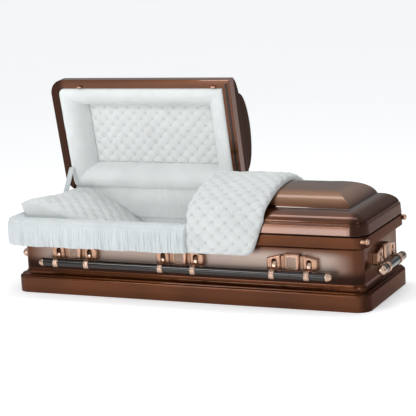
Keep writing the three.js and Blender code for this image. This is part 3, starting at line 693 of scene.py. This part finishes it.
def folds(p, t, longest):
    """Gathers: rounded ridges of several widths side by side, each drifting a little on its way down."""
    p = p + 0.23 * longest * np.sin(2 * math.pi * p / (3.7 * longest)) + 3 * np.sin(p / 9.7 + 1)
    ridge = [np.abs(np.sin(math.pi * p / (longest * f) + k + d * t)) ** 0.75
             for f, k, d in ((1.0, 0.3, 0.5), (0.63, 1.9, -0.4), (0.41, 0.8, 0.7))]
    return 0.5 * ridge[0] + 0.3 * ridge[1] + 0.2 * ridge[2]


def slab(outer, inner):
    """A closed sheet between two tables of points, with rounded hems at its first and last rows."""
    loops = np.concatenate([outer, inner[:, ::-1]], axis=1)
    first, last = (outer[0] + inner[0]) / 2, (outer[-1] + inner[-1]) / 2
    return np.concatenate([np.concatenate([first, first[::-1]])[None], loops,
                           np.concatenate([last, last[::-1]])[None]])


def on_face(values):
    """A value for each point of a closed sheet: as given on its face, none on its back."""
    return slab(values[..., None], 0 * values[..., None])[..., 0]


def divided(table, longest):
    """The same loops with points added along the straight runs, none further apart than asked."""
    closed = np.concatenate([table, table[:, :1]], axis=1)
    runs = np.linalg.norm(np.diff(closed, axis=1), axis=2).max(axis=0)
    counts = np.maximum(1, np.ceil(runs / longest)).astype(int)
    where = np.concatenate([k + np.arange(n) / n for k, n in enumerate(counts)])
    k = where.astype(int)
    share = (where - k)[None, :, None]
    return closed[:, k] * (1 - share) + closed[:, k + 1] * share


def outward(table, towards):
    """Normals of a table, turned so that their average points the given way."""
    n = normals(table)
    return n * np.sign((n * np.asarray(towards)).sum(axis=2).mean())


print("cloth helpers ready")

# %% [markdown]
# ## The open lid's lining
# A padded frame is stretched over card around the rim, with mitred corners, and rolls inward to a
# sunken quilted panel. Both are drawn on the closed lid and then turned back with it.

# %% Lid frame and tufted panel
FLANGE_COVER, PANEL_DROP = 25, 26
frame_section = smooth([(168, 124), (120, 104), (54, 82), (51, 40), (50.6, 8), (52, 0), (58, -6.5),
                        (70, -10.5), (86, -11.5), (104, -8), (124, 2), (142, 19), (158, 43),
                        (170, 71), (177, 97), (180, 124)], 54)
frame_loops = divided(lid_loops(HEAD, frame_section[:, 0], frame_section[:, 1], frame_section[:, 0], 3), 9)
loop_x, loop_y, loop_h = frame_loops[..., 0], frame_loops[..., 1], frame_loops[..., 2] - LID_LOW
low_edge = np.clip((loop_y - 170) / 130, 0, 1) * np.clip((8 - loop_h) / 8, 0, 1)
dropped = np.clip((250 - loop_y) / 70, 0, 1) * (loop_y > 100)
frame_loops[..., 1] += FLANGE_COVER * low_edge + PANEL_DROP * dropped
creases = np.sin(loop_x / 31 + 1.3 * np.sin(loop_y / 57)) * np.sin(loop_y / 23 + loop_x / 140)
frame_loops[..., 2] += 1.3 * creases - 5 * low_edge
lid_frame = surface("lid_frame_pad", opened(frame_loops), "head_lid", BRIGHT_LINING, wrap_rows=True,
                    wrap_columns=True, sharp=50)
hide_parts("head_lid_frame")

PANEL_X, PANEL_Y, PANEL_H, PUFF = (-873, -68), 171.5, 113, 12
px, py = np.meshgrid(np.linspace(*PANEL_X, 250), np.linspace(-PANEL_Y, PANEL_Y + PANEL_DROP, 118))
edge_x = np.minimum(px - PANEL_X[0], PANEL_X[1] - px)
edge_y = np.minimum(py + PANEL_Y, PANEL_Y + PANEL_DROP - py)
edge = np.minimum(edge_x, edge_y)
panel_rise = tufted(px + 10, py) * np.clip(edge / 14, 0, 1) ** 0.5
panel_front = np.dstack([px, py, LID_LOW + PANEL_H - PUFF * panel_rise])
panel_back = np.dstack([px, py, np.full_like(px, LID_LOW + 127.0)])
lid_panel = surface("lid_panel_quilt", opened(slab(panel_front, panel_back)), "head_lid", LID_QUILT,
                    wrap_columns=True, sharp=70, attributes={"dip": on_face(dips(px + 10, py))})
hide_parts("head_lid_panel")
print("lid lining:", len(lid_frame.data.polygons), len(lid_panel.data.polygons), "faces")

# %% [markdown]
# ## Bed, pillow and wall lining
# The mattress and wall lining are simple padded forms in the same crepe. The pillow is a quilted
# wedge, high at the head, and its seams show between its swelling diamonds.

# %% Mattress, wall lining, pillow and the closed lid's lining
bed_section = smooth([(90, 140), (90, 200), (90.5, 248), (94, 262), (104, 269), (130, 272), (220, 274)], 22)
bed = divided(around(bed_section), 20)
bed[..., 2] += 2.5 * np.sin(bed[..., 0] / 63 + bed[..., 1] / 90) * np.clip((bed[..., 2] - 255) / 15, 0, 1)
mattress = surface("mattress_pad", bed, "shell", BRIGHT_LINING, wrap_columns=True, caps=(True, True), sharp=60)
wall_section = smooth([(56, 139), (56, 250), (56, 372), (60, 384), (71, 389), (83, 386), (90, 374),
                       (92, 335), (91, 270), (89, 200), (89, 139)], 40)
wall_loops = divided(around(wall_section), 6)
wall_run = np.broadcast_to(np.arange(wall_loops.shape[1]) * 6.0, wall_loops.shape[:2])
inside = (np.arange(40) > 15)[:, None]
gathers = 2.2 * inside * (folds(wall_run, wall_loops[..., 2] / 90, 46) - 0.5)
wall_loops += normals(wall_loops) * gathers[..., None]
wall = surface("wall_lining_pad", wall_loops, "shell", BRIGHT_LINING, wrap_rows=True, wrap_columns=True, sharp=70)

PILLOW_HEAD, PILLOW_LONG, PILLOW_HALF, PILLOW_LOW, OVERHANG = -990, 540, 264, 273, 56
u, v = np.meshgrid(np.linspace(0, 1, 150), np.linspace(-1, 1, 140), indexing="ij")
crest = smooth([(0, 484), (0.03, 495), (0.09, 503), (0.2, 504), (0.35, 488), (0.53, 448), (0.7, 396),
                (0.85, 342), (1, 290)], 200)
crown = np.interp(u, crest[:, 0], crest[:, 1])
full = np.clip(1 - np.abs(v) ** 6, 0, 1) ** 0.5
corner_pull = 90 * u ** 2 * np.abs(v) ** 3
front_spill = OVERHANG * np.clip(1 - u / 0.45, 0, 1) * np.clip(0.2 - v, 0, 1)
pillow_x = PILLOW_HEAD + PILLOW_LONG * u - corner_pull - front_spill
pillow_y = PILLOW_HALF * v * (1 - 0.03 * np.sin(math.pi * u))
pillow_z = PILLOW_LOW + 20 + (crown - PILLOW_LOW - 20) * (0.97 - 0.56 * u + (0.03 + 0.56 * u) * full)
CORNER_LIFT = 26
pillow_z = pillow_z + CORNER_LIFT * np.clip(1 - u / 0.35, 0, 1) * np.clip(-v, 0, 1)
pillow_top = np.dstack([pillow_x, pillow_y, pillow_z])
away = np.clip(9 * u * (1.04 - u), 0, 1) * np.clip(6 * (1.02 - np.abs(v)), 0, 1)
PILLOW_PUFF = 14
puffs = PILLOW_PUFF * (tufted(pillow_x, pillow_y, 84, 80) * away - 0.55)
pillow_top = pillow_top + outward(pillow_top, (0, 0, 1)) * puffs[..., None]
head_lift = 160 * np.clip(1 - u / 0.12, 0, 1) ** 0.5
pillow_low = np.dstack([np.maximum(pillow_x, -1030) * 0.99, pillow_y * 0.98, PILLOW_LOW + head_lift])
pillow = surface("pillow_pad", slab(pillow_top, pillow_low), "shell", QUILT, wrap_columns=True, sharp=75,
                 attributes={"dip": on_face(dips(pillow_x, pillow_y, 84, 80) * away)})
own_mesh(pillow)

foot_section = smooth([(52, 40), (51.5, 20), (54, 9), (70, 4), (120, 2), (240, 0)], 22)
foot_pad_loops = divided(lid_loops(FOOT, foot_section[:, 0], foot_section[:, 1], foot_section[:, 0], 3), 25)
foot_pad = surface("foot_lid_pad", foot_pad_loops, "foot_lid", BRIGHT_LINING, wrap_columns=True, caps=(True, True),
                   sharp=60)
for piece, node, fill in ((mattress, "mattress", 0.8), (wall, "side_lining", 0.5), (pillow, "pillow", 0.7),
                          (foot_pad, "foot_lid_lining", 0.5)):
    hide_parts(node)
print("bed, wall lining and pillow made")

# %% [markdown]
# ## The apron and the hinge curtain
# The apron is a gathered strip sewn over the rim, so the metal ledge is covered while the lid is open. Its
# section rolls over the ledge and hangs down outside; an elastic line pinches it near the top. A plainer
# strip hides the hinge gap at the back, and a cloth sleeve covers the lid's stay.

# %% Apron, curtain and sleeve
EDGE_X, EDGE_Y, EDGE_ROUND, APRON_START, APRON_STOP = 1051.5, 345, 46, 66, 250
FRONT_RUN, TURN_RUN = APRON_START + EDGE_X - EDGE_ROUND, EDGE_ROUND * math.pi / 2
APRON_RUN = FRONT_RUN + TURN_RUN + EDGE_Y - EDGE_ROUND + APRON_STOP


def apron_point(p, out, z):
    """A point at a run along the ledge's edge, a distance out from that edge, at a height."""
    turn = np.clip((p - FRONT_RUN) / TURN_RUN, 0, 1) * math.pi / 2
    x = np.where(p < FRONT_RUN, APRON_START - p, EDGE_ROUND - EDGE_X - EDGE_ROUND * np.sin(turn))
    y = EDGE_ROUND - EDGE_Y - EDGE_ROUND * np.cos(turn) + np.maximum(p - FRONT_RUN - TURN_RUN, 0)
    return np.dstack([x - out * np.sin(turn), y - out * np.cos(turn), z])


apron_section = smooth([(-44, 405), (-45, 414), (-41, 423), (-28, 430), (-8, 433), (14, 433), (31, 429),
                        (42, 421), (46, 412), (50, 396), (52, 370), (52, 330), (51, 300), (49, 281)], 58)
t, p = np.meshgrid(np.arange(58) / 57, np.linspace(0, APRON_RUN, 760), indexing="ij")
out = np.broadcast_to(apron_section[:, :1], p.shape)
tall = np.broadcast_to(apron_section[:, 1:], p.shape)
depth = np.interp(t, [0, 0.3, 0.42, 0.47, 0.55, 0.75, 1], [1.2, 3.0, 3.6, 2.0, 6.5, 8.5, 9.0])
pleat = folds(p, 2.4 * t, 14)
pinch = 4.5 * np.exp(-((t - 0.47) / 0.018) ** 2)
out = out + depth * (pleat - 0.55) - pinch
TUCK_LONG, TUCK_OUT, TUCK_RISE = 30, 18, 50
out = np.minimum(out, TUCK_OUT + TUCK_RISE * np.clip(p / TUCK_LONG, 0, 1) ** 2)
tall = tall + np.where(t > 0.9, 1.6 * np.sin(p / 41) + np.sin(p / 17), 0) * np.clip((t - 0.9) * 10, 0, 1)
apron_face = apron_point(p, out, tall + 1.4 * depth * (pleat - 0.5) * (t < 0.44))
APRON_THICK = 3.0
apron_back = apron_face - outward(apron_face, (0, 0, 1)) * APRON_THICK
# The apron's fold hollows are darkened, more on its hanging part: painted shade.
apron_fold_shade = np.clip(0.5 - pleat, 0, 0.3) * np.clip(4 * t - 1.2, 0.2, 1)
apron = surface("apron_gathers", slab(apron_face, apron_back), "shell", CLOTH, wrap_columns=True, sharp=80,
                attributes={"dip": on_face(apron_fold_shade)})
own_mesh(apron)

drop = smooth([(258, 330), (260, 360), (264, 392), (272, 425), (279, 455), (283, 480), (282, 497)], 30)
cx, crow = np.meshgrid(np.linspace(-985, 92, 420), np.arange(30))
sway = folds(cx, crow / 14, 38) - 0.5
curtain_face = np.dstack([cx, drop[crow, 0] - 3 * sway - 1.5, drop[crow, 1]])
curtain_back = curtain_face + np.array([0, 4.0, 0])
curtain = surface("hinge_curtain", slab(curtain_face, curtain_back), "shell", BRIGHT_LINING, wrap_columns=True,
                  sharp=80)
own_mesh(curtain)

stay = smooth([(128, 436), (150, 478), (184, 530), (222, 585), (246, 618)], 40)
lead = np.gradient(stay, axis=0)
lead /= np.linalg.norm(lead, axis=1, keepdims=True)
ring = np.linspace(0, 2 * math.pi, 29)[:-1]
wide = 17 * np.sign(np.cos(ring)) * np.abs(np.cos(ring)) ** 0.6
thick = (4.5 + 0.9 * np.sin(np.arange(40) * 1.1))[:, None] * np.sin(ring)
sleeve_table = np.dstack([np.broadcast_to(-988 + wide, thick.shape), stay[:, :1] - thick * lead[:, 1:],
                          stay[:, 1:] + thick * lead[:, :1]])
sleeve = surface("stay_sleeve_cloth", sleeve_table, "shell", CLOTH, wrap_columns=True, caps=(True, True),
                 sharp=60)
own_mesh(sleeve)
for piece, node in ((apron, "apron"), (curtain, "hinge_lining"), (sleeve, "stay_sleeve")):
    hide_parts(node)
print("apron", len(apron.data.polygons), "faces along", round(APRON_RUN), "mm")

# %% [markdown]
# ## The quilted throw
# A quilted panel is laid from the bed over the closed lid, and its front end hangs down outside. It is a
# sheet of wadded cloth, so it keeps one thickness: it stands off the lid's roll in a soft curve, and its two
# side edges turn down.

# %% Throw
THROW_LEFT, THROW_EDGE, THROW_THICK, THROW_PUFF = 50, 46, 8, 16
over = smooth([(-390, 284), (-390, 340), (-388, 404), (-382, 462), (-363, 520), (-325, 557), (-275, 582),
               (-180, 622), (-75, 648), (20, 655), (115, 637), (200, 601), (262, 564)], 330)
drape = np.append(0, np.cumsum(np.linalg.norm(np.diff(over, axis=0), axis=1)))
right_x = np.interp(drape, [0, 40, 118, 190, 480, 720, 1100], [431, 446, 470, 494, 504, 520, 528])
share, row = np.meshgrid(np.linspace(0, 1, 128), np.arange(330))
wide = right_x[row] - THROW_LEFT
tx = THROW_LEFT + wide * share
from_left, from_right = share * wide, (1 - share) * wide
turn_down = 32 * (1 - np.sqrt(1 - (1 - np.clip(from_left / THROW_EDGE, 0, 1)) ** 2))
turn_down = turn_down + 24 * (1 - np.sqrt(1 - (1 - np.clip(from_right / THROW_EDGE, 0, 1)) ** 2))
corner_up = 14 * np.clip((share - 0.88) / 0.12, 0, 1) ** 2 * (row < 40) * (1 - row / 40)
plain = np.dstack([tx, over[row, 0], over[row, 1] + corner_up])
lift = outward(plain, (0, -0.3, 1))
hem = np.clip(drape[row] / 16, 0, 1) ** 0.5 * np.clip((drape[-1] - drape[row]) / 16, 0, 1) ** 0.5
quilt = tufted(tx - 90, drape[row] + 12, 80, 75)
wave = 4 * np.sin(tx / 61 + drape[row] / 83) + 2.5 * np.sin(tx / 29 - drape[row] / 47)
throw_face = plain + lift * (THROW_PUFF * (quilt * hem - 0.5) + 0.6 * wave - turn_down)[..., None]
throw_back = plain - lift * (THROW_THICK + turn_down + 2)[..., None]
throw = surface("throw_quilt", slab(throw_face, throw_back), "foot_lid", QUILT, wrap_columns=True, sharp=80,
                attributes={"dip": on_face(dips(tx - 90, drape[row] + 12, 80, 75))})
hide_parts("throw")
print("throw", len(throw.data.polygons), "faces,", round(float(drape[-1])), "mm long")

# %% [markdown]
# ## Camera and light
# The camera stands where the photographer stood, in front of the foot end and a little above the
# casket. Three soft boxes around it and one overhead give the lacquer its pale highlights.

# %% Camera, lamps and floor
scene = bpy.context.scene
CAMERA_PLACE = np.array([3.565, -7.523, 2.088])
YAW, PITCH, ROLL = np.radians([25.27, 11.12, -3.16])
ahead = np.array([-np.sin(YAW) * np.cos(PITCH), np.cos(YAW) * np.cos(PITCH), -np.sin(PITCH)])
level = np.array([np.cos(YAW), np.sin(YAW), 0.0])
upright = np.cross(level, ahead)
across = level * np.cos(ROLL) + upright * np.sin(ROLL)
above = -level * np.sin(ROLL) + upright * np.cos(ROLL)
camera = bpy.data.objects.new("camera", bpy.data.cameras.new("camera"))
scene.collection.objects.link(camera)
camera.data.sensor_width, camera.data.lens = 36.0, 131.1
matrix = np.eye(4)
matrix[:3, 0], matrix[:3, 1], matrix[:3, 2], matrix[:3, 3] = across, above, -ahead, CAMERA_PLACE
camera.matrix_world = Matrix(matrix.tolist())
scene.camera = camera


def lamp(name, where, target, size, power):
    """A rectangular soft box at one place, facing another."""
    light = bpy.data.lights.new(name, "AREA")
    light.shape, light.size, light.size_y, light.energy = "RECTANGLE", size[0], size[1], power
    box = bpy.data.objects.new(name, light)
    scene.collection.objects.link(box)
    back = np.subtract(where, target) / np.linalg.norm(np.subtract(where, target))
    side = np.cross([0, 0, 1], back)
    side /= np.linalg.norm(side)
    place_at = np.eye(4)
    place_at[:3] = np.column_stack([side, np.cross(back, side), back, where])
    box.matrix_world = Matrix(place_at.tolist())


SKY = (0.0, 0.75, 0.22, 0.8)
lamp("key", (-2.2, -4.2, 3.4), (0, 0, 0.4), (2.2, 0.7), 70)
lamp("low_strip", (-0.9, -4.6, 0.45), (0.2, 0, 0.4), (2.6, 0.4), 32)
lamp("fill", (4.2, -2.6, 2.4), (0.4, 0, 0.3), (1.6, 1.2), 24)
lamp("overhead", (0.2, 0.6, 4.2), (0.2, 0.1, 0), (3.4, 0.9), 40)
world = bpy.data.worlds.new("studio")
world.use_nodes = True
sky = world.node_tree
where = sky.nodes.new("ShaderNodeTexCoord")
height = sky.nodes.new("ShaderNodeSeparateXYZ")
ramp = sky.nodes.new("ShaderNodeMapRange")
ramp.interpolation_type = "SMOOTHSTEP"
sky.links.new(where.outputs["Generated"], height.inputs[0])
sky.links.new(height.outputs["Z"], ramp.inputs["Value"])
for slot, value in zip((1, 2, 3, 4), SKY):
    ramp.inputs[slot].default_value = value
sky.links.new(ramp.outputs["Result"], sky.nodes["Background"].inputs["Strength"])
sky.nodes["Background"].inputs["Color"].default_value = (0.96, 0.98, 1.0, 1)
scene.world = world
scene.view_settings.view_transform = "Standard"

pale = Finish("pale_floor", Roughness=0.9, Emission_Color=(1, 1, 1, 1), Emission_Strength=0.3)
pale.feed("Base Color", pale.mix(pale.noise(0.8, 2.0), colour(247, 247, 247), colour(243, 243, 243)))
floor_mesh = bpy.data.meshes.new("floor")
floor_mesh.from_pydata([(-40, -40, 0), (40, -40, 0), (40, 40, 0), (-40, 40, 0)], [], [(0, 1, 2, 3)])
floor_mesh.materials.append(pale.material)
floor = bpy.data.objects.new("floor", floor_mesh)
scene.collection.objects.link(floor)
print("camera and lamps placed")
